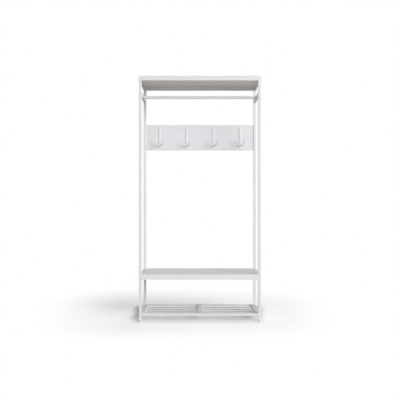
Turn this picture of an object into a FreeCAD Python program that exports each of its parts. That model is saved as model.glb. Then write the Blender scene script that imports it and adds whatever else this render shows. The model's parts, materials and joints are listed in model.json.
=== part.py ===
import FreeCAD, Part
import math
import os

V = FreeCAD.Vector

# White metal coat stand with a top shelf, hanging rod, hook panel, bench seat and shoe rack.
# Millimetres, +Z up, the front faces -Y, and the origin is on the floor under the middle.

# Overall size, over the top shelf
stand_width = 900.0
stand_depth = 350.0
stand_height = 1808.0

# Square steel tube of the posts, rails and rod
tube = 20.0
tube_wall = 1.5
tube_corner = 2.0

# Folded sheet steel of the shelf, hook panel and seat
sheet = 1.5
fold_radius = 2.5

# Lips of the shelf and seat, the rod's drop below the top, and the height of the seat
shelf_lip = 35.0
rod_drop = 125.0
bench_height = 348.0
bench_lip = 40.0
bench_notch_gap = 0.2
stiffener_width = 40.0
stiffener_height = 25.0
stiffener_spacing = 300.0

# Hook panel between the rear posts, a drop below the top
panel_drop = 313.0
panel_height = 200.0
panel_flange = 15.0
panel_recess = 5.0

# Cast coat hooks: a strap, a knuckle at its foot and two prongs with round tips
hook_count = 4
hook_top_inset = 24.0
strap_length = 150.0
strap_width = 17.0
strap_thickness = 4.0
strap_edge = 1.2
knuckle_depth = 8.0
prong_thickness = 8.5
prong_spread = 33.0
prong_reach = 38.0
prong_rise = 30.0
prong_bow = 5.0
prong_sag = 12.0
knob_width = 13.0
knob_length = 11.0
knob_edge = 2.5

# Shoe rack
rack_height = 52.0
rack_middle_width = 30.0
rack_end_width = 20.0
shoe_bar_diameter = 10.0
shoe_bar_count = 4
shoe_bar_pitch = 72.0

# Levelling feet and the plugs that they screw into
foot_width = 17.0
foot_height = 6.0
stud_radius = 4.0
stud_gap = 0.05
stud_length = 26.0
plug_gap = 0.1
plug_length = 22.0
plug_flange = 2.0
plug_flange_inset = 0.8

# Holes in the rear lip of the shelf for fixing the stand to a wall
wall_hole_radius = 3.25
wall_hole_spacing = 600.0

# Places worked out from the sizes above
tube_half = tube / 2
tube_bore = tube - 2 * tube_wall
post_outer_x = stand_width / 2 - sheet
post_outer_y = stand_depth / 2 - sheet
post_centre_x = post_outer_x - tube_half
post_centre_y = post_outer_y - tube_half
post_inner_x = post_outer_x - tube
post_inner_y = post_outer_y - tube
post_bottom = foot_height + plug_flange
post_top = stand_height - sheet

rod_height = stand_height - rod_drop
panel_width = 2 * post_inner_x
panel_front = post_inner_y + panel_recess
panel_top = stand_height - panel_drop
panel_bottom = panel_top - panel_height
hook_pitch = panel_width / hook_count
hook_places = [(index - (hook_count - 1) / 2) * hook_pitch for index in range(hook_count)]
hook_bottom = panel_top - hook_top_inset - strap_length

bench_under = bench_height - sheet
bench_rail_centre_x = post_outer_x - sheet - tube_half
rack_end_centre_x = post_inner_x - rack_end_width / 2
shoe_bar_start = rack_middle_width / 2
shoe_bar_end = post_inner_x - rack_end_width
shoe_bar_places = [(index - (shoe_bar_count - 1) / 2) * shoe_bar_pitch for index in range(shoe_bar_count)]

SIDES = (("left", -1), ("right", 1))
FACES = (("front", -1), ("rear", 1))
CORNERS = [(side, face) for side_name, side in SIDES for face_name, face in FACES]


def save(name, *solids):
    """Write one node, a single solid or a group of like solids."""
    shape = solids[0] if len(solids) == 1 else Part.makeCompound(solids)
    shape.exportStep("parts/" + name + ".step")
    print(name, len(shape.Solids), "valid" if shape.isValid() else "NOT VALID", round(shape.Volume, 1))


def near(value, target):
    return abs(value - target) < 1e-6


def edges_where(shape, test):
    """The edges whose every end point passes the test."""
    return [edge for edge in shape.Edges if all(test(vertex.Point) for vertex in edge.Vertexes)]


def centred_box(wide, deep, low, high):
    return Part.makeBox(wide, deep, high - low, V(-wide / 2, -deep / 2, low))


def upright_tube(wide, deep, length):
    """A rectangular tube along +Z with rounded outer corners, centred on the axis."""
    block = centred_box(wide, deep, 0, length)
    corners = [edge for edge in block.Edges if near(abs(edge.tangentAt(0).z), 1)]
    bore = centred_box(wide - 2 * tube_wall, deep - 2 * tube_wall, 0, length)
    return block.makeFillet(tube_corner, corners).cut(bore)


def folded_pan(wide, deep, lip):
    """A sheet folded down on all four sides, its face at z = 0 and its hollow open below."""
    block = centred_box(wide, deep, -lip, 0)
    folds = edges_where(block, lambda point: near(point.z, 0))
    hollow = centred_box(wide - 2 * sheet, deep - 2 * sheet, -lip, -sheet)
    return block.makeFillet(fold_radius, folds).cut(hollow)


def hexagon_bar(width, height):
    """A six-sided bar along +Z, given its width across flats."""
    reach = width / math.sqrt(3)
    corners = [V(reach * math.cos(step * math.pi / 3), reach * math.sin(step * math.pi / 3), 0)
               for step in range(7)]
    return Part.Face(Part.makePolygon(corners)).extrude(V(0, 0, height))


# Side frames: two posts, and the rails welded between them

def post(side, face):
    upright = upright_tube(tube, tube, post_top - post_bottom)
    return upright.translated(V(side * post_centre_x, face * post_centre_y, post_bottom))


def side_rail(centre_x, height, wide=tube):
    """A tube from front to back, between the posts or between the rails of the rack."""
    rail = upright_tube(wide, tube, 2 * post_inner_y).rotated(V(0, 0, 0), V(1, 0, 0), -90)
    return rail.translated(V(centre_x, -post_inner_y, height))


# Pieces that cross from the left side frame to the right one

def cross_tube(y, height):
    rail = upright_tube(tube, tube, 2 * post_inner_x).rotated(V(0, 0, 0), V(0, 1, 0), 90)
    return rail.translated(V(-post_inner_x, y, height))


def top_shelf():
    """A folded tray that sleeves over the post heads, with two holes for wall screws."""
    shelf = folded_pan(stand_width, stand_depth, shelf_lip).translated(V(0, 0, stand_height))
    for side_name, side in SIDES:
        start = V(side * wall_hole_spacing / 2, post_centre_y, stand_height - shelf_lip / 2)
        shelf = shelf.cut(Part.makeCylinder(wall_hole_radius, tube, start, V(0, 1, 0)))
    return shelf


def hook_panel():
    pan = folded_pan(panel_width, panel_height, panel_flange).rotated(V(0, 0, 0), V(1, 0, 0), 90)
    return pan.translated(V(0, panel_front, panel_bottom + panel_height / 2))


def bench_seat():
    """A sheet notched round the posts, with a lip folded down between each two notches."""
    notch_x = post_inner_x - bench_notch_gap
    notch_y = post_inner_y - bench_notch_gap
    low = bench_height - bench_lip

    def cross_block(half_x, half_y, high):
        """Two crossed blocks, one between the left and right notches, one between front and rear."""
        lengthwise = centred_box(2 * notch_x, 2 * half_y, low, high)
        return lengthwise.fuse(centred_box(2 * half_x, 2 * notch_y, low, high)).removeSplitter()

    def on_fold(point):
        at_lip = near(abs(point.x), post_outer_x) or near(abs(point.y), post_outer_y)
        return near(point.z, bench_height) and at_lip

    block = cross_block(post_outer_x, post_outer_y, bench_height)
    block = block.makeFillet(fold_radius, edges_where(block, on_fold))
    return block.cut(cross_block(post_outer_x - sheet, post_outer_y - sheet, bench_under))


def seat_stiffener(x):
    """A folded channel under the seat, from its front lip to its rear lip, open side up."""
    length = 2 * (post_outer_y - sheet)
    low = bench_under - stiffener_height
    block = centred_box(stiffener_width, length, low, bench_under)
    folds = [edge for edge in edges_where(block, lambda point: near(point.z, low))
             if near(abs(edge.tangentAt(0).y), 1)]
    hollow = centred_box(stiffener_width - 2 * sheet, length, low + sheet, bench_under)
    return block.makeFillet(fold_radius, folds).cut(hollow).translated(V(x, 0, 0))


def shoe_bar(side, y):
    """A round bar from the rack's middle bar to its end bar."""
    start = V(side * shoe_bar_start, y, rack_height)
    return Part.makeCylinder(shoe_bar_diameter / 2, shoe_bar_end - shoe_bar_start, start, V(side, 0, 0))


# Coat hooks, made with the strap's foot at the origin and the prongs reaching out along -Y

def hook_strap():
    """A flat strap with round ends and a bevelled rim, its back on the panel."""
    half = strap_width / 2
    low = V(0, 0, half)
    high = V(0, 0, strap_length - half)
    left = V(-half, 0, 0)
    right = V(half, 0, 0)
    outline = [
        Part.LineSegment(low + left, high + left).toShape(),
        Part.Arc(high + left, high + V(0, 0, half), high + right).toShape(),
        Part.LineSegment(high + right, low + right).toShape(),
        Part.Arc(low + right, low - V(0, 0, half), low + left).toShape(),
    ]
    strap = Part.Face(Part.Wire(outline)).extrude(V(0, -strap_thickness, 0))
    rim = edges_where(strap, lambda point: near(point.y, -strap_thickness))
    return strap.makeChamfer(strap_edge, rim)


def hook_knuckle():
    """The round boss at the strap's foot that the two prongs grow from."""
    radius = strap_width / 2
    return Part.makeCylinder(radius, strap_thickness + knuckle_depth, V(0, 0, radius), V(0, -1, 0))


def eight_sides(centre, outward, across, width):
    """An eight-sided face, given two directions in its plane and its width across flats."""
    reach = width / 2 / math.cos(math.pi / 8)
    turns = [(step + 0.5) * math.pi / 4 for step in range(9)]
    corners = [centre + outward * (reach * math.cos(turn)) + across * (reach * math.sin(turn))
               for turn in turns]
    return Part.Face(Part.makePolygon(corners))


def hook_prong(side):
    """A prong on one arc, out, forward and up from the knuckle, with a bevelled knob on its end."""
    root = V(0, -strap_thickness - knuckle_depth / 2, strap_width / 2)
    tip = V(side * prong_spread, -prong_reach, strap_width / 2 + prong_rise)
    middle = (root + tip) / 2 + V(side, -1, 0) * prong_bow - V(0, 0, prong_sag)
    arc = Part.Arc(root, middle, tip).toShape()
    centre = arc.Curve.Center
    across = arc.Curve.Axis
    turn = math.degrees(arc.LastParameter - arc.FirstParameter)
    section = eight_sides(root, (root - centre).normalize(), across, prong_thickness)
    heading = arc.tangentAt(arc.LastParameter)
    knob = eight_sides(tip, (tip - centre).normalize(), across, knob_width).extrude(heading * knob_length)
    rims = [edge for edge in knob.Edges if near(edge.tangentAt(edge.FirstParameter).dot(heading), 0)]
    return section.revolve(centre, across, turn).fuse(knob.makeChamfer(knob_edge, rims))


def coat_hook(x):
    casting = hook_strap().fuse([hook_knuckle(), hook_prong(-1), hook_prong(1)]).removeSplitter()
    return casting.translated(V(x, panel_front, hook_bottom))


# Feet

def foot_plug(side, face):
    """A plug in the end of a post, with a flange under the tube and a bore for the foot's stud."""
    width = tube_bore - 2 * plug_gap
    flange_width = tube - 2 * plug_flange_inset
    body = centred_box(width, width, 0, plug_length)
    flange = centred_box(flange_width, flange_width, -plug_flange, 0)
    bore = Part.makeCylinder(stud_radius + stud_gap, plug_length + plug_flange, V(0, 0, -plug_flange))
    plug = body.fuse(flange).cut(bore)
    return plug.translated(V(side * post_centre_x, face * post_centre_y, post_bottom))


def levelling_foot(side, face):
    """A six-sided pad, turned by a spanner, on a stud that screws into the foot plug."""
    stud = Part.makeCylinder(stud_radius, stud_length, V(0, 0, foot_height))
    foot = hexagon_bar(foot_width, foot_height).fuse(stud)
    return foot.translated(V(side * post_centre_x, face * post_centre_y, 0))


os.makedirs("parts", exist_ok=True)

for side_name, side in SIDES:
    for face_name, face in FACES:
        save(side_name + "_" + face_name + "_post", post(side, face))
        save(side_name + "_" + face_name + "_foot", levelling_foot(side, face))
    save(side_name + "_rod_rail", side_rail(side * post_centre_x, rod_height))
    save(side_name + "_bench_rail", side_rail(side * bench_rail_centre_x, bench_under - tube_half))
    save(side_name + "_shoe_rail", side_rail(side * post_centre_x, rack_height))
    save(side_name + "_rack_end_bar", side_rail(side * rack_end_centre_x, rack_height, rack_end_width))
    save(side_name + "_seat_stiffener", seat_stiffener(side * stiffener_spacing / 2))
    for number, y in enumerate(shoe_bar_places, start=1):
        save(side_name + "_shoe_bar_" + str(number), shoe_bar(side, y))

save("foot_plugs", *[foot_plug(side, face) for side, face in CORNERS])
save("top_shelf", top_shelf())
save("hanging_rod", cross_tube(0, rod_height))
save("hook_panel", hook_panel())
for number, x in enumerate(hook_places, start=1):
    save("coat_hook_" + str(number), coat_hook(x))
save("bench_seat", bench_seat())
for face_name, face in FACES:
    save("rack_" + face_name + "_rail", cross_tube(face * post_centre_y, rack_height))
save("rack_middle_bar", side_rail(0, rack_height, rack_middle_width))
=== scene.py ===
import bmesh
import bpy
import json
import math
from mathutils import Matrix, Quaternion, Vector

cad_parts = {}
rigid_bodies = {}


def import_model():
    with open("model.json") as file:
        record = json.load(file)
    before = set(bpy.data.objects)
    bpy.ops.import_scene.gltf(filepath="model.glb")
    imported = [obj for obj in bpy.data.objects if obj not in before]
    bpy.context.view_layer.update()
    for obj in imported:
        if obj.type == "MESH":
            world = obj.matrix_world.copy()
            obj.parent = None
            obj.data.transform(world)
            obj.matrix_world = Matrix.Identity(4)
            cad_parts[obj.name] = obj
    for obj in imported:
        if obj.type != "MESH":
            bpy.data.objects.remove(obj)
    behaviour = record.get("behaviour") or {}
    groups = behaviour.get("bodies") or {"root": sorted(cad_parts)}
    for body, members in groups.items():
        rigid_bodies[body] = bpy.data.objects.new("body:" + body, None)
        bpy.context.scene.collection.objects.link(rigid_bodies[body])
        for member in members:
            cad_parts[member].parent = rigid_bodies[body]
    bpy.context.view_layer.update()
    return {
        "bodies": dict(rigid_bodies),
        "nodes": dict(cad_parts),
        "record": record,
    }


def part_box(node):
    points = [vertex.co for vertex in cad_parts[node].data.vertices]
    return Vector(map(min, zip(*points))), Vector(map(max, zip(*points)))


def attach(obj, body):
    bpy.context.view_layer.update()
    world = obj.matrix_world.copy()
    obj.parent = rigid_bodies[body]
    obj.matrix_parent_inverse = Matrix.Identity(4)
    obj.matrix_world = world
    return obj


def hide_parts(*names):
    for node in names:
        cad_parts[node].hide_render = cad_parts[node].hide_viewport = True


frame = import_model()

# White metal coat stand: the looks of its coated steel, cast hooks, plastic feet, bolts and welds.
# Metres, +Z up, the front faces -Y, and the origin is on the floor under the middle.

MM = 0.001
SIDES = (-1, 1)
SIDE_NAMES = ("left", "right")
RIGHT = Vector((1, 0, 0))
BACK = Vector((0, 1, 0))
UP = Vector((0, 0, 1))

# Counts and sizes shared with the solids
HOOK_COUNT = 4
BARS_ON_EACH_SIDE = 4
TUBE_HALF = 10 * MM
STRAP_WIDTH = 17 * MM
STRAP_LENGTH = 150 * MM
STRAP_THICKNESS = 4 * MM
KNUCKLE_DEPTH = 8 * MM
PRONG_SPREAD = 33 * MM
PRONG_REACH = 38 * MM
PRONG_RISE = 30 * MM
PRONG_BOW = 5 * MM
PRONG_SAG = 12 * MM
SHOE_BAR_RADIUS = 5 * MM
FOOT_FLAT = 8.5 * MM
FOOT_HEIGHT = 6 * MM
STUD_RADIUS = 4 * MM
STUD_LENGTH = 26 * MM

# Cast hooks. The strap's edge pairs an inset with a share of its thickness, and the knuckle's edge pairs
# shares of its radius and depth. The waist's place is a share of the prong's length.
CASTING_GRID = 0.9 * MM
CASTING_SMOOTHING = 8
STRAP_SIDES = 40
STRAP_EDGE = ((0, 0), (0, 0.6), (0.4 * MM, 0.8), (1.4 * MM, 0.95), (3 * MM, 1))
KNUCKLE_SIDES = 32
KNUCKLE_EDGE = ((1, 0), (1, 0.75), (0.93, 0.9), (0.75, 0.97), (0.4, 1))
PRONG_SIDES = 24
PRONG_STEPS = 28
PRONG_ROOT_RADIUS = 4.4 * MM
PRONG_WAIST_RADIUS = 3.5 * MM
PRONG_WAIST_PLACE = 0.65
KNOB_STEPS = 16
KNOB_NECK_STEP = 2
KNOB_RADIUS = 6.0 * MM
KNOB_CENTRE = 4.6 * MM

# Bolts and screws. The dome pairs shares of a head's radius and height. The socket's flat is a share of
# the radius, and its rim and floor are shares of the height.
BOLT_RADIUS = 5.5 * MM
BOLT_HEIGHT = 1.35 * MM
SCREW_RADIUS = 3.6 * MM
SCREW_HEIGHT = 1.1 * MM
HEAD_SIDES = 24
HEAD_DOME = ((1, 0), (1, 0.25), (0.93, 0.55), (0.78, 0.83), (0.56, 0.97), (0.45, 1))
SOCKET_FLAT = 0.36
SOCKET_RIM = 0.96
SOCKET_FLOOR = 0.3
PANEL_BOLT_INSET = 45 * MM
SEAT_BOLT_REACH = 100 * MM
HOOK_SCREW_RISES = (78 * MM, 136 * MM)

# Levelling feet. The pad's outline pairs an inset with a height, in millimetres. The thread runs out
# over a number of pitches.
FOOT_SIDES = 48
PAD_OUTLINE = ((1.5, 0.25), (1.1, 0.05), (0.7, 0), (0.3, 0.2), (0, 0.7), (0, 5.3), (0.3, 5.8), (0.8, 6))
THREAD_PITCH = 1.25 * MM
THREAD_DEPTH = 0.6 * MM
ROWS_PER_PITCH = 4
THREAD_RUN_OUT = 2

# Welds. A bead's bulge and its size at the ends are shares of its leg. The ring weld's outline pairs
# shares of its leg, along the bar and out from it.
WELD_LEG = 2.2 * MM
WELD_SINK = 0.2 * MM
WELD_BULGE = 0.62
WELD_END = 0.35
WELD_TAPER = 4
WELD_RIPPLE = 2.0 * MM
RIPPLE_SWELL = 0.14
STEPS_PER_RIPPLE = 4
TUBE_CORNER = 2.5 * MM
RING_WELD_SIDES = 40
RING_WELD_LEG = 1.8 * MM
RING_WELD_OVERLAP = 0.3 * MM
RING_WELD_OUTLINE = ((0.3, 0.85), (0.65, 0.5), (1, 0))

# Camera, measured from the photograph's perspective
CAMERA_PLACE = Vector((0.0, -3.918, 0.880))
CAMERA_LENS = 45.88
CAMERA_SENSOR = 36
CAMERA_SHIFT = (0.0004, 0.0050)
CAMERA_RANGE = 60


class Reading:
    """A node's output. Sums on readings add Math nodes, so shader maths is written as plain expressions."""

    def __init__(self, finish, socket):
        self.finish = finish
        self.socket = socket

    def __add__(self, other):
        return self.finish.reckon("ADD", self, other)

    def __radd__(self, other):
        return self.finish.reckon("ADD", other, self)

    def __sub__(self, other):
        return self.finish.reckon("SUBTRACT", self, other)

    def __rsub__(self, other):
        return self.finish.reckon("SUBTRACT", other, self)

    def __mul__(self, other):
        return self.finish.reckon("MULTIPLY", self, other)

    def __rmul__(self, other):
        return self.finish.reckon("MULTIPLY", other, self)


class Finish:
    """The nodes of one material, or of the world."""

    def __init__(self, owner):
        owner.use_nodes = True
        self.tree = owner.node_tree
        self.tree.nodes.clear()

    def node(self, kind, settings=None, sockets=None, output=0):
        """Add a node, first its settings and then the values or links of its sockets."""
        made = self.tree.nodes.new("ShaderNode" + kind)
        for name, value in (settings or {}).items():
            setattr(made, name, value)
        for name, value in (sockets or {}).items():
            if isinstance(value, Reading):
                self.tree.links.new(value.socket, made.inputs[name])
            else:
                made.inputs[name].default_value = value
        return Reading(self, made.outputs[output]) if made.outputs else None

    def reckon(self, operation, first, second, clamp=False):
        """A Math node on two numbers."""
        return self.node("Math", {"operation": operation, "use_clamp": clamp}, {0: first, 1: second})

    def vector(self, operation, first, second=(0, 0, 0), output=0):
        """A Vector Math node on two vectors."""
        return self.node("VectorMath", {"operation": operation}, {0: first, 1: second}, output)

    def tint(self, first, second, share):
        """A colour between two colours."""
        return self.node("Mix", {"data_type": "RGBA"}, {0: share, 6: first, 7: second}, 2)

    def blend(self, first, second, share):
        """A shader between two shaders."""
        return self.node("MixShader", None, {0: share, 1: first, 2: second})

    def place(self, stretch=(1, 1, 1)):
        """A point on the piece in metres, stretched along its axes."""
        return self.vector("MULTIPLY", self.node("TexCoord", output="Object"), stretch)

    def along(self, way):
        """How far a point on the piece lies along a way."""
        return self.vector("DOT_PRODUCT", self.place(), way, "Value")

    def mottle(self, size, detail=2.0, stretch=(1, 1, 1)):
        """Cloudy noise from 0 to 1, with patches of about this size in metres."""
        sockets = {"Vector": self.place(stretch), "Scale": 1 / size, "Detail": detail}
        return self.node("TexNoise", None, sockets)

    def step_up(self, reading, low, high):
        """0 below low, 1 above high, and a smooth rise between them."""
        sockets = {"Value": reading, "From Min": low, "From Max": high}
        return self.node("MapRange", {"interpolation_type": "SMOOTHSTEP"}, sockets)

    def soft_corner(self, radius):
        """The normal as if every sharp edge were rounded to this radius."""
        return self.node("Bevel", {"samples": 6}, {"Radius": radius})

    def edge(self, radius):
        """Near 1 along edges and 0 on the flats."""
        face = self.node("NewGeometry", output="Normal")
        likeness = self.vector("DOT_PRODUCT", self.soft_corner(radius), face, "Value")
        return self.step_up(1 - likeness, *EDGE_RISE)

    def relief(self, height, depth, strength, corner):
        """The normal of rounded corners with a fine relief on them."""
        rounded = self.soft_corner(corner)
        sockets = {"Strength": strength, "Distance": depth, "Height": height, "Normal": rounded}
        return self.node("Bump", None, sockets)

    def surface(self, sockets):
        """The Principled shader that ends a material."""
        shader = self.node("BsdfPrincipled", None, sockets)
        self.node("OutputMaterial", None, {"Surface": shader})


def new_finish(name):
    """A new material and its empty finish."""
    material = bpy.data.materials.new(name)
    return material, Finish(material)


# Finishes. A rise gives the readings between which a mark goes from none to full.

FRAME_WHITE = (0.800, 0.806, 0.812, 1)
COOL_WHITE = (0.784, 0.791, 0.829, 1)
BRIGHT_WHITE = (0.806, 0.817, 0.828, 1)
THIN_COAT = (0.690, 0.690, 0.700, 1)
RUBBED_COAT = (0.730, 0.728, 0.725, 1)
CLOUD_SHADE = 0.958
CLOUD_SIZE = 240 * MM
CLOUD_ROUGHNESS = 0.10
DUST_SIZE = 0.6 * MM
DUST_SHARE = 0.2
PEEL_STRENGTH = 0.35
PEEL_ROUGHNESS = 0.12
THIN_EDGE = 1.2 * MM
THIN_PATCH = 18 * MM
THIN_LEAST = 0.25
THIN_CHANGE = 0.5
STREAK_SIZE = 12 * MM
STREAK_STRETCH = (0.12, 1, 1)
STREAK_RISE = (0.56, 0.72)
RUB_PATCH = 110 * MM
RUB_RISE = (0.5, 0.66)
RUB_POLISH = 0.10
COAT_CORNER = 0.8 * MM
EDGE_RISE = (0.01, 0.16)

PLASTIC_WHITE = (0.74, 0.74, 0.74, 1)
PLASTIC_SHADE = (0.66, 0.66, 0.67, 1)
PLASTIC_CLOUD = 8 * MM
PLASTIC_ROUGHNESS = 0.5
PLASTIC_CORNER = 0.5 * MM
GRAIN_SIZE = 0.7 * MM
GRAIN_HEIGHT = 0.1 * MM
GRAIN_STRENGTH = 0.4
GRAIN_ROUGHNESS = 0.15
SCUFF_EDGE = 0.8 * MM
SCUFF_PATCH = 3 * MM
SCUFF_LIGHT = 1.5
SCUFF_SHARE = 0.5

TUBE_SKIN = {"peel_size": 1.6 * MM, "peel_height": 0.05 * MM, "roughness": 0.52, "rub": 0.25}
SHEET_SKIN = {"peel_size": 2.0 * MM, "peel_height": 0.06 * MM, "roughness": 0.54, "rub": 0.45}
SEAT_SKIN = {"peel_size": 2.0 * MM, "peel_height": 0.06 * MM, "roughness": 0.42, "rub": 0.45, "gloss": 0.5}
BAR_SKIN = {"peel_size": 1.2 * MM, "peel_height": 0.03 * MM, "roughness": 0.28, "rub": 0.2, "gloss": 0.5}
CASTING_SKIN = {"peel_size": 1.2 * MM, "peel_height": 0.03 * MM, "roughness": 0.33, "rub": 0.2}
SCREW_SKIN = {"peel_size": 0.9 * MM, "peel_height": 0.02 * MM, "roughness": 0.36, "rub": 0.3}


def scaled(colour, share):
    """A lighter or darker colour of the same hue."""
    return tuple(min(1, share * part) for part in colour[:3]) + (1,)


def powder_coat(name, white, peel_size, peel_height, roughness, rub, gloss=0.3):
    """White powder coat: cloudy shade, orange peel, thin cover along edges, and faint rub marks."""
    material, finish = new_finish(name)
    cloud = finish.mottle(CLOUD_SIZE, detail=3.0)
    peel = finish.mottle(peel_size, detail=1.5)
    dust = finish.mottle(DUST_SIZE, detail=1.0)
    thin = finish.edge(THIN_EDGE) * (THIN_LEAST + THIN_CHANGE * finish.mottle(THIN_PATCH, detail=3.0))
    streaks = finish.step_up(finish.mottle(STREAK_SIZE, detail=4.0, stretch=STREAK_STRETCH), *STREAK_RISE)
    rubbed = streaks * finish.step_up(finish.mottle(RUB_PATCH), *RUB_RISE) * rub
    shade = finish.tint(white, scaled(white, CLOUD_SHADE), cloud)
    worn = finish.tint(shade, RUBBED_COAT, rubbed)
    uneven = roughness + CLOUD_ROUGHNESS * (cloud - 0.5) + PEEL_ROUGHNESS * (peel - 0.5)
    skin = (1 - DUST_SHARE) * peel + DUST_SHARE * dust
    finish.surface({
        "Base Color": finish.tint(worn, THIN_COAT, thin),
        "Roughness": uneven - RUB_POLISH * rubbed,
        "Normal": finish.relief(skin, peel_height, PEEL_STRENGTH, COAT_CORNER),
        "Specular IOR Level": gloss,
        "Coat Weight": 0.05,
        "Coat Roughness": 0.25,
    })
    return material


def moulded_plastic(name):
    """White moulded plastic with a fine grain and scuffed edges."""
    material, finish = new_finish(name)
    grain = finish.mottle(GRAIN_SIZE)
    cloud = finish.mottle(PLASTIC_CLOUD, detail=3.0)
    scuffed = finish.edge(SCUFF_EDGE) * finish.mottle(SCUFF_PATCH, detail=3.0)
    clean = finish.tint(PLASTIC_WHITE, PLASTIC_SHADE, cloud)
    finish.surface({
        "Base Color": finish.tint(clean, scaled(PLASTIC_WHITE, SCUFF_LIGHT), SCUFF_SHARE * scuffed),
        "Roughness": PLASTIC_ROUGHNESS + GRAIN_ROUGHNESS * (grain - 0.5),
        "Normal": finish.relief(grain, GRAIN_HEIGHT, GRAIN_STRENGTH, PLASTIC_CORNER),
    })
    return material


tube_coat = powder_coat("white_coated_tube", FRAME_WHITE, **TUBE_SKIN)
sheet_coat = powder_coat("white_coated_sheet", FRAME_WHITE, **SHEET_SKIN)
screw_coat = powder_coat("white_coated_screw", FRAME_WHITE, **SCREW_SKIN)
cool_tube_coat = powder_coat("cool_white_coated_tube", COOL_WHITE, **TUBE_SKIN)
cool_sheet_coat = powder_coat("cool_white_coated_sheet", COOL_WHITE, **SHEET_SKIN)
casting_coat = powder_coat("cool_white_coated_casting", COOL_WHITE, **CASTING_SKIN)
seat_coat = powder_coat("bright_white_coated_sheet", BRIGHT_WHITE, **SEAT_SKIN)
bar_coat = powder_coat("bright_white_coated_bar", BRIGHT_WHITE, **BAR_SKIN)
plug_plastic = moulded_plastic("white_plug_plastic")
foot_plastic = moulded_plastic("white_foot_plastic")

SLOT_FINISHES = {
    "coated_tube": tube_coat,
    "coated_sheet": sheet_coat,
    "coated_casting": casting_coat,
    "plug_plastic": plug_plastic,
    "foot_plastic": foot_plastic,
}

# The hook panel, seat and shoe rack are another white than the side frames and the shelf
NODE_FINISHES = {
    "hook_panel": cool_sheet_coat,
    "bench_seat": seat_coat,
    "seat_stiffener": seat_coat,
    "shoe_bar": bar_coat,
    "rack_": cool_tube_coat,
}


def finish_of(node, slot_name):
    """The finish of a node by a word in its name, or else by its slot."""
    for word, coat in NODE_FINISHES.items():
        if word in node:
            return coat
    return SLOT_FINISHES[slot_name]


for subpart in frame["record"]["subparts"]:
    for slot in frame["nodes"][subpart["node"]].material_slots:
        slot.material = finish_of(subpart["node"], subpart["material_slot"])


# Mesh helpers. A section gives a radius for each turn round a ring's centre.
# Edges that bend by more than the sharp angle, in degrees, stay crisp.

HEAD_SHARP = 40
FOOT_SHARP = 40
WELD_SHARP = 60
ALL_SMOOTH = 180


def round_section(radius):
    """The same radius all round."""
    return lambda turn: radius


def six_sided_section(flat):
    """A hexagon with a corner at turn 0, given half its width across flats."""
    sixth = math.pi / 3
    return lambda turn: flat / math.cos(turn % sixth - sixth / 2)


def turn_of(step, count):
    """The angle of a step round a ring, in radians."""
    return 2 * math.pi * step / count


def ring(centre, across, along, section, count):
    """Points round a centre in the plane of two directions."""
    points = []
    for step in range(count):
        turn = turn_of(step, count)
        points.append(centre + section(turn) * (math.cos(turn) * across + math.sin(turn) * along))
    return points


def stack_rings(mesh, rings):
    """A closed skin over rings of equal count, with a cap on each end."""
    rows = [[mesh.verts.new(point) for point in points] for points in rings]
    count = len(rows[0])
    for low, high in zip(rows, rows[1:]):
        for step in range(count):
            after = (step + 1) % count
            mesh.faces.new((low[step], low[after], high[after], high[step]))
    mesh.faces.new(rows[0][::-1])
    mesh.faces.new(rows[-1])


def smooth_but_sharp(data, sharp_degrees):
    """Shade mesh data smooth, but for edges sharper than the angle."""
    data.polygons.foreach_set("use_smooth", [True] * len(data.polygons))
    data.set_sharp_from_angle(angle=math.radians(sharp_degrees))


def finished_mesh(name, mesh, sharp_degrees=ALL_SMOOTH):
    """Turn a bmesh into shaded mesh data."""
    bmesh.ops.recalc_face_normals(mesh, faces=mesh.faces)
    data = bpy.data.meshes.new(name)
    mesh.to_mesh(data)
    mesh.free()
    smooth_but_sharp(data, sharp_degrees)
    return data


def linked(thing):
    """Put a new object in the scene."""
    bpy.context.scene.collection.objects.link(thing)
    return thing


def new_piece(name, data, coat, body, place=(0, 0, 0)):
    """A piece of the stand that rides on a body."""
    piece = linked(bpy.data.objects.new(name, data))
    piece.location = place
    if not data.materials:
        data.materials.append(coat)
    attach(piece, body)
    return piece


def middle_of(node):
    """The middle of a node's box."""
    low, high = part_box(node)
    return (low + high) / 2


# Coat hooks, each one casting: a strap, a knuckle and two prongs that end in round knobs

def strap_outline(inset, y):
    """An upright strip with round ends, drawn in from the strap's edge."""
    half = STRAP_WIDTH / 2
    reach = half - inset
    points = []
    for step in range(STRAP_SIDES):
        turn = turn_of(step, STRAP_SIDES)
        centre_z = STRAP_LENGTH - half if math.sin(turn) > 0 else half
        points.append(Vector((reach * math.cos(turn), y, centre_z + reach * math.sin(turn))))
    return points


def add_strap(mesh):
    """The flat strap against the panel, with its front edge eased."""
    stack_rings(mesh, [strap_outline(inset, -share * STRAP_THICKNESS) for inset, share in STRAP_EDGE])


def add_knuckle(mesh):
    """The round boss at the foot of the strap, from which the prongs spring."""
    radius = STRAP_WIDTH / 2
    depth = STRAP_THICKNESS + KNUCKLE_DEPTH
    rings = []
    for size, share in KNUCKLE_EDGE:
        centre = radius * UP - share * depth * BACK
        rings.append(ring(centre, RIGHT, UP, round_section(size * radius), KNUCKLE_SIDES))
    stack_rings(mesh, rings)


def circle_through(first, middle, last):
    """The centre and axis of the circle through three points."""
    one = middle - first
    two = last - first
    axis = one.cross(two)
    offset = axis.cross(one) * two.length_squared + two.cross(axis) * one.length_squared
    return first + offset / (2 * axis.length_squared), axis.normalized()


def prong_radius(share):
    """The radius at a share of the prong's length: thick at the root, thin at the waist."""
    swell = (share / PRONG_WAIST_PLACE - 1) ** 2
    return PRONG_WAIST_RADIUS + (PRONG_ROOT_RADIUS - PRONG_WAIST_RADIUS) * swell


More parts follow.
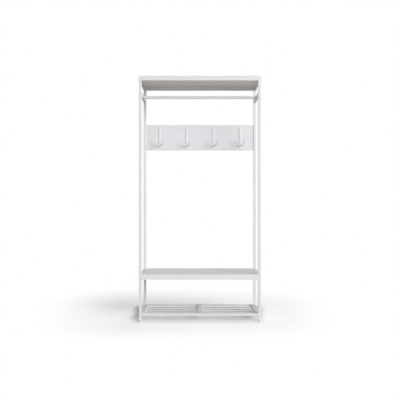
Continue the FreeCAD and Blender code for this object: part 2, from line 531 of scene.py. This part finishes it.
def add_prong(mesh, side):
    """A prong on one arc, out, forward and up from the knuckle, with a round knob on its end."""
    root = Vector((0, -STRAP_THICKNESS - KNUCKLE_DEPTH / 2, STRAP_WIDTH / 2))
    tip = Vector((side * PRONG_SPREAD, -PRONG_REACH, STRAP_WIDTH / 2 + PRONG_RISE))
    middle = (root + tip) / 2 + PRONG_BOW * Vector((side, -1, 0)) - PRONG_SAG * UP
    centre, axis = circle_through(root, middle, tip)
    sweep = (root - centre).angle(tip - centre)
    rings = []
    for step in range(PRONG_STEPS + 1):
        share = step / PRONG_STEPS
        spoke = Quaternion(axis, share * sweep) @ (root - centre)
        section = round_section(prong_radius(share))
        rings.append(ring(centre + spoke, spoke.normalized(), axis, section, PRONG_SIDES))
    heading = axis.cross(spoke).normalized()
    for step in range(KNOB_NECK_STEP, KNOB_STEPS):
        lean = math.pi * step / KNOB_STEPS
        place = tip + (KNOB_CENTRE - KNOB_RADIUS * math.cos(lean)) * heading
        section = round_section(KNOB_RADIUS * math.sin(lean))
        rings.append(ring(place, spoke.normalized(), axis, section, PRONG_SIDES))
    stack_rings(mesh, rings)


def hook_casting():
    """The overlapping forms of one hook, melted into a single smooth skin."""
    mesh = bmesh.new()
    add_strap(mesh)
    add_knuckle(mesh)
    for side in SIDES:
        add_prong(mesh, side)
    pattern = linked(bpy.data.objects.new("hook_pattern", finished_mesh("hook_pattern", mesh)))
    melt = pattern.modifiers.new("melt", "REMESH")
    melt.mode = "VOXEL"
    melt.voxel_size = CASTING_GRID
    ease = pattern.modifiers.new("ease", "SMOOTH")
    ease.iterations = CASTING_SMOOTHING
    evaluated = pattern.evaluated_get(bpy.context.evaluated_depsgraph_get())
    data = bpy.data.meshes.new_from_object(evaluated)
    data.name = "hook_casting"
    bpy.data.objects.remove(pattern)
    smooth_but_sharp(data, ALL_SMOOTH)
    return data


def hook_places():
    """Where the foot of each hook's strap meets the panel."""
    places = []
    for number in range(1, HOOK_COUNT + 1):
        low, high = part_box("coat_hook_%d" % number)
        places.append(Vector(((low.x + high.x) / 2, high.y, low.z)))
    return places


casting = hook_casting()
for number, place in enumerate(hook_places(), start=1):
    hook = new_piece("hook_casting_%d" % number, casting, casting_coat, "stand", place)
    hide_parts("coat_hook_%d" % number)


# Bolts and screws

def add_round_head(mesh, place, outward, radius, height):
    """A low domed head with a six-sided socket, its underside at the place given."""
    across = UP.cross(outward).normalized()
    along = outward.cross(across)
    socket = six_sided_section(SOCKET_FLAT * radius)
    steps = [(round_section(size * radius), rise) for size, rise in HEAD_DOME]
    steps += [(socket, SOCKET_RIM), (socket, SOCKET_FLOOR)]
    stack_rings(mesh, [ring(place + rise * height * outward, across, along, section, HEAD_SIDES)
                       for section, rise in steps])


def head_group(name, heads, radius=BOLT_RADIUS, height=BOLT_HEIGHT):
    """One piece of like heads, each given by its place and the way it faces."""
    mesh = bmesh.new()
    for place, outward in heads:
        add_round_head(mesh, Vector(place), outward, radius, height)
    new_piece(name, finished_mesh(name, mesh, HEAD_SHARP), screw_coat, "stand")


post_low, post_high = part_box("right_front_post")
seat_low, seat_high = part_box("bench_seat")
panel_low, panel_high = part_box("hook_panel")
shelf_low, shelf_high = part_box("top_shelf")
post_outer_x = post_high.x
post_inner_x = post_low.x
post_centre_y = TUBE_HALF - post_high.y
rod_z = middle_of("hanging_rod").z
rack_z = middle_of("rack_front_rail").z
seat_bolt_z = (seat_low.z + seat_high.z) / 2
shelf_bolt_z = (shelf_low.z + shelf_high.z) / 2
panel_bolt_heights = (panel_low.z + PANEL_BOLT_INSET, panel_high.z - PANEL_BOLT_INSET)

head_group("rod_bolts", [((side * post_outer_x, 0, rod_z), side * RIGHT) for side in SIDES])
head_group("seat_bolts", [((side * seat_high.x, face * SEAT_BOLT_REACH, seat_bolt_z), side * RIGHT)
                          for side in SIDES for face in SIDES])
head_group("rack_bolts", [((side * post_outer_x, face * post_centre_y, rack_z), side * RIGHT)
                          for side in SIDES for face in SIDES])
head_group("panel_bolts", [((side * post_outer_x, post_centre_y, z), side * RIGHT)
                           for side in SIDES for z in panel_bolt_heights])
head_group("shelf_bolts", [((side * post_inner_x, face * post_centre_y, shelf_bolt_z), -side * RIGHT)
                           for side in SIDES for face in SIDES])
hook_screws = [(place - STRAP_THICKNESS * BACK + rise * UP, -BACK)
               for place in hook_places() for rise in HOOK_SCREW_RISES]
head_group("hook_screws", hook_screws, SCREW_RADIUS, SCREW_HEIGHT)


# Levelling feet: a six-sided pad with rounded rims on a threaded stud

def thread_section(height):
    """The section of the thread at a height on the stud, shallow at both ends."""
    root = STUD_RADIUS - THREAD_DEPTH
    ease = min(1, height / THREAD_PITCH, (STUD_LENGTH - height) / (THREAD_RUN_OUT * THREAD_PITCH))

    def radius_at(turn):
        phase = (height / THREAD_PITCH - turn / (2 * math.pi)) % 1
        return root + THREAD_DEPTH * ease * (1 - abs(2 * phase - 1))

    return radius_at


def foot_mesh():
    """The pad and the stud in one skin, with the floor at height 0."""
    mesh = bmesh.new()
    rings = [ring(height * MM * UP, RIGHT, BACK, six_sided_section(FOOT_FLAT - inset * MM), FOOT_SIDES)
             for inset, height in PAD_OUTLINE]
    rows = round(ROWS_PER_PITCH * STUD_LENGTH / THREAD_PITCH)
    for row in range(rows + 1):
        height = STUD_LENGTH * row / rows
        rings.append(ring((FOOT_HEIGHT + height) * UP, RIGHT, BACK, thread_section(height), FOOT_SIDES))
    stack_rings(mesh, rings)
    return finished_mesh("levelling_foot", mesh, FOOT_SHARP)


foot_data = foot_mesh()
for body in frame["bodies"]:
    if body.endswith("_foot"):
        middle = middle_of(body)
        place = (middle.x, middle.y, 0)
        foot = new_piece(body + "_pad", foot_data, foot_plastic, body, place)
        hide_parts(body)


# Welds

def ripple(distance):
    """The swell of a weld bead, laid in overlapping drops."""
    return 1 + RIPPLE_SWELL * abs(math.sin(math.pi * distance / WELD_RIPPLE))


def add_bead(mesh, start, end, first_face, second_face):
    """A fillet bead along an inside corner, given the ways that its two faces look."""
    length = (end - start).length
    steps = max(STEPS_PER_RIPPLE, round(STEPS_PER_RIPPLE * length / WELD_RIPPLE))
    outward = first_face + second_face
    rings = []
    for step in range(steps + 1):
        share = step / steps
        from_end = min(share, 1 - share)
        leg = WELD_LEG * ripple(share * length) * min(1, WELD_END + WELD_TAPER * from_end)
        corner = start.lerp(end, share) - WELD_SINK * outward
        bulge = WELD_BULGE * leg * outward
        rings.append([corner, corner + leg * first_face, corner + bulge, corner + leg * second_face])
    stack_rings(mesh, rings)


def add_ring_bead(mesh, centre, outward, bar_radius):
    """A fillet bead round a bar that meets a face."""
    inner = bar_radius - RING_WELD_OVERLAP

    def bead_ring(height, width):
        return ring(centre + height * outward, UP, outward.cross(UP),
                    lambda turn: inner + width * ripple(turn * bar_radius), RING_WELD_SIDES)

    rings = [bead_ring(-WELD_SINK, RING_WELD_LEG)]
    rings += [bead_ring(height * RING_WELD_LEG, width * RING_WELD_LEG) for height, width in RING_WELD_OUTLINE]
    stack_rings(mesh, rings)


def tube_end_beads(mesh, node, tops=SIDES):
    """Beads over and under both ends of a tube that runs from front to back."""
    low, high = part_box(node)
    for face, y in ((1, low.y), (-1, high.y)):
        for up in tops:
            z = high.z if up > 0 else low.z
            start = Vector((low.x + TUBE_CORNER, y, z))
            end = Vector((high.x - TUBE_CORNER, y, z))
            add_bead(mesh, start, end, up * UP, face * BACK)


def bar_end_beads(mesh, node):
    """Beads round both ends of a round bar that runs from left to right."""
    low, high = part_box(node)
    middle = (low + high) / 2
    for x, outward in ((low.x, RIGHT), (high.x, -RIGHT)):
        add_ring_bead(mesh, Vector((x, middle.y, middle.z)), outward, SHOE_BAR_RADIUS)


def weld_piece(name, mesh, coat):
    """One piece of the beads in a mesh."""
    new_piece(name, finished_mesh(name, mesh, WELD_SHARP), coat, "stand")


frame_welds = bmesh.new()
for side_name in SIDE_NAMES:
    tube_end_beads(frame_welds, side_name + "_rod_rail")
    tube_end_beads(frame_welds, side_name + "_shoe_rail")
    tube_end_beads(frame_welds, side_name + "_bench_rail", tops=(-1,))
weld_piece("side_frame_welds", frame_welds, tube_coat)

rack_welds = bmesh.new()
for node in ("rack_middle_bar", "left_rack_end_bar", "right_rack_end_bar"):
    tube_end_beads(rack_welds, node)
for side_name in SIDE_NAMES:
    for number in range(1, BARS_ON_EACH_SIDE + 1):
        bar_end_beads(rack_welds, "%s_shoe_bar_%d" % (side_name, number))
weld_piece("rack_welds", rack_welds, cool_tube_coat)


# Stage: a pale floor that fades to white, a white surround, and soft lamps.
# The floor glows with painted light, weaker close under the stand and stronger out in the open. A rise gives
# where a change on the floor starts and ends, and a slant moves that change with the place on the floor.

PURE_WHITE = (1, 1, 1, 1)
AMBIENT = (0.107, 0.109, 0.112, 1)
FLOOR_SEEN = (0.95, 0.95, 0.95, 1)
FLOOR_BOUNCE = (0.79, 0.70, 0.645, 1)
FLOOR_RADIUS = 14
FLOOR_SIDES = 96
SHADE_LOW = Vector((-0.45, -0.2, 0))
SHADE_HIGH = Vector((0.45, 0.33, 0))
# Strengths of the painted light that glows on the floor close under the stand and out in the open
CLOSE_PAINTED_LIGHT = 0.20
OPEN_PAINTED_LIGHT = 0.38
PAINTED_SHADE_RISE = (-0.2, 0.12)
PAINTED_LIGHT_RISE = (0.0, 0.09)
PAINTED_LIGHT_SLANT = (0.02, -0.1, 0)
FAR_RISE = (0.08, 0.7)
FAR_SLANT = (0.1, -0.25, 0)
LAMP_HEIGHT = 0.9


def seen_ray(finish):
    """1 for what the camera sees, straight or in a reflection, and 0 for light on its way to a surface."""
    rays = [finish.node("LightPath", output=name)
            for name in ("Is Camera Ray", "Is Glossy Ray", "Is Transmission Ray")]
    return finish.reckon("ADD", rays[0] + rays[1], rays[2], clamp=True)


def distance_from_shade(finish):
    """How far a point of the floor lies outside the patch where the stand's shadow falls."""
    centre = (SHADE_LOW + SHADE_HIGH) / 2
    folded = finish.vector("ABSOLUTE", finish.vector("SUBTRACT", finish.place(), centre))
    past = finish.vector("SUBTRACT", folded, SHADE_HIGH - centre)
    return finish.vector("LENGTH", finish.vector("MAXIMUM", past), output="Value")


def pale_floor():
    """A floor that is white to look at, with painted light glowing on it and painted shadow round the stand,
    fades into the white surround, and throws less light back up.
    """
    material, finish = new_finish("pale_floor")
    matt = finish.node("BsdfDiffuse", None, {"Color": FLOOR_SEEN})
    bounce = finish.node("BsdfDiffuse", None, {"Color": FLOOR_BOUNCE})

    def glow(strength):
        return finish.node("Emission", None, {"Color": PURE_WHITE, "Strength": strength})

    def with_painted_light(strength):
        return finish.node("AddShader", None, {0: matt, 1: glow(strength)})

    # Painted shadow: the open painted light is held off inside the patch where the stand's shadow falls, and
    # under the stand the close painted light fades to none toward the back as painted shade.
    away = distance_from_shade(finish)
    painted_shade_toward_back = finish.step_up(finish.along(BACK), *PAINTED_SHADE_RISE)
    clear = finish.step_up(away + finish.along(PAINTED_LIGHT_SLANT), *PAINTED_LIGHT_RISE)
    far = finish.step_up(away + finish.along(FAR_SLANT), *FAR_RISE)
    under = finish.blend(with_painted_light(CLOSE_PAINTED_LIGHT), matt, painted_shade_toward_back)
    near = finish.blend(under, with_painted_light(OPEN_PAINTED_LIGHT), clear)
    seen = finish.blend(near, glow(1.0), far)
    finish.node("OutputMaterial", None, {"Surface": finish.blend(bounce, seen, seen_ray(finish))})
    bpy.ops.mesh.primitive_circle_add(vertices=FLOOR_SIDES, radius=FLOOR_RADIUS, fill_type="NGON")
    floor = bpy.context.object
    floor.name = "pale_floor"
    floor.data.materials.append(material)


def white_surround():
    """A world that is white to look at and lights the stand only a little."""
    world = bpy.data.worlds.new("white_surround")
    bpy.context.scene.world = world
    finish = Finish(world)
    light = finish.node("Background", None, {"Color": AMBIENT, "Strength": 1.0})
    white = finish.node("Background", None, {"Color": PURE_WHITE, "Strength": 1.0})
    finish.node("OutputWorld", None, {"Surface": finish.blend(light, white, seen_ray(finish))})


def aim(thing, target):
    """Turn a lamp or camera to look at a point."""
    way = Vector(target) - thing.location
    thing.rotation_euler = way.to_track_quat("-Z", "Y").to_euler()


def soft_lamp(name, way, distance, size, power, height=LAMP_HEIGHT, spread=180, squeeze=1, glint=True):
    """An oval lamp off in the way given, aimed at a height on the middle of the stand."""
    data = bpy.data.lights.new(name, "AREA")
    data.shape = "ELLIPSE"
    data.size = size
    data.size_y = squeeze * size
    data.energy = power
    data.spread = math.radians(spread)
    lamp = linked(bpy.data.objects.new(name, data))
    lamp.location = height * UP + distance * Vector(way).normalized()
    lamp.visible_camera = False
    lamp.visible_glossy = glint
    aim(lamp, height * UP)


def photo_camera():
    """A level camera where the photograph was taken."""
    data = bpy.data.cameras.new("photo_camera")
    data.lens = CAMERA_LENS
    data.sensor_width = CAMERA_SENSOR
    data.shift_x, data.shift_y = CAMERA_SHIFT
    data.clip_end = CAMERA_RANGE
    camera = linked(bpy.data.objects.new("photo_camera", data))
    camera.location = CAMERA_PLACE
    aim(camera, CAMERA_PLACE + BACK)
    bpy.context.scene.camera = camera


pale_floor()
white_surround()
soft_lamp("key_lamp", way=(0.85, -1, 0.47), distance=22, size=16, power=4270)
soft_lamp("left_lamp", way=(-1, 0.1, 0.08), distance=14, size=5, power=500)
soft_lamp("front_lamp", way=(0, -1, 0.06), distance=20, size=8, power=415, squeeze=0.18)
soft_lamp("rear_lamp", way=(0.4, 1, 0.06), distance=14, size=5, power=1150, glint=False)
soft_lamp("top_lamp", way=UP, distance=1.5, size=0.9, power=0.2, height=1.8, spread=12, squeeze=0.35)
photo_camera()
bpy.context.scene.view_settings.view_transform = "Standard"
